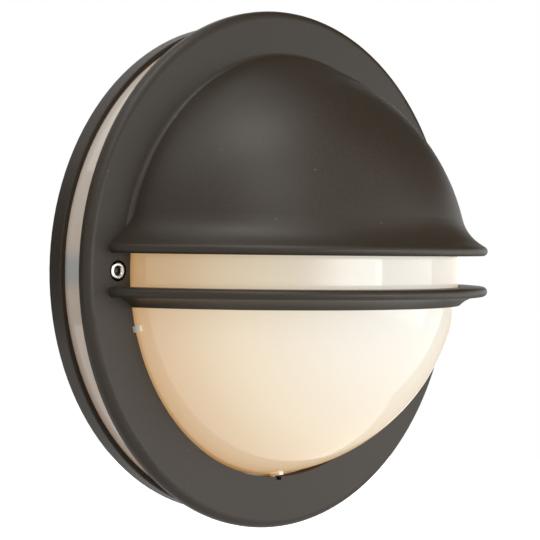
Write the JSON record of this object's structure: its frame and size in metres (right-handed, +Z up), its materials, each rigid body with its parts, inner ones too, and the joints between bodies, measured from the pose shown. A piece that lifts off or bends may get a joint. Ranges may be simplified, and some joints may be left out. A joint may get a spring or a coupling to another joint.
{
  "type": "wall light",
  "caption": "Round outdoor wall light with a half hood, an eyelid slot and bar across an opal dome, on a recessed mounting base.",
  "frame": {"origin": "Centre of the light on the wall face, in the plane of the base's contact ring and midway between the two fixing slots.", "axes": "+Y goes straight into the wall and is the axis of the round plate, the light stands out towards -Y, +Z is up and the hood is above the slot, +X is to the right of someone facing the light."},
  "size_m": [0.28, 0.1377, 0.2798],
  "materials": {
    "graphite_coat": "fine textured powder coat on die-cast aluminium",
    "opal_acrylic": "opal, smooth",
    "black_rubber": "matt",
    "stainless_steel": "bright",
    "zinc_plated_steel": "zinc plated",
    "white_porcelain": "glazed",
    "brass": "plain",
    "lamp_white": "frosted",
    "white_nylon": "moulded",
    "brown_insulation": "smooth",
    "blue_insulation": "smooth",
    "green_yellow_insulation": "smooth"
  },
  "bodies": {
    "root": {"base": "graphite_coat", "front_cover": "graphite_coat", "diffuser": "opal_acrylic", "diffuser_seal": "black_rubber", "cover_screws": "stainless_steel", "flange_washers": "black_rubber", "cable_grommet": "black_rubber", "holder_bracket": "zinc_plated_steel", "bracket_screws": "zinc_plated_steel", "holder_body": "white_porcelain", "holder_shell": "brass", "holder_contact": "brass", "holder_screws": "zinc_plated_steel", "lamp": "lamp_white", "terminal_block": "white_nylon", "terminal_sleeves": "brass", "terminal_screws": "zinc_plated_steel", "block_screws": "zinc_plated_steel", "live_wire": "brown_insulation", "neutral_wire": "blue_insulation", "earth_wire": "green_yellow_insulation", "earth_lug": "zinc_plated_steel", "earth_screw": "zinc_plated_steel", "earth_washer": "brass"}
  },
  "joints": []
}
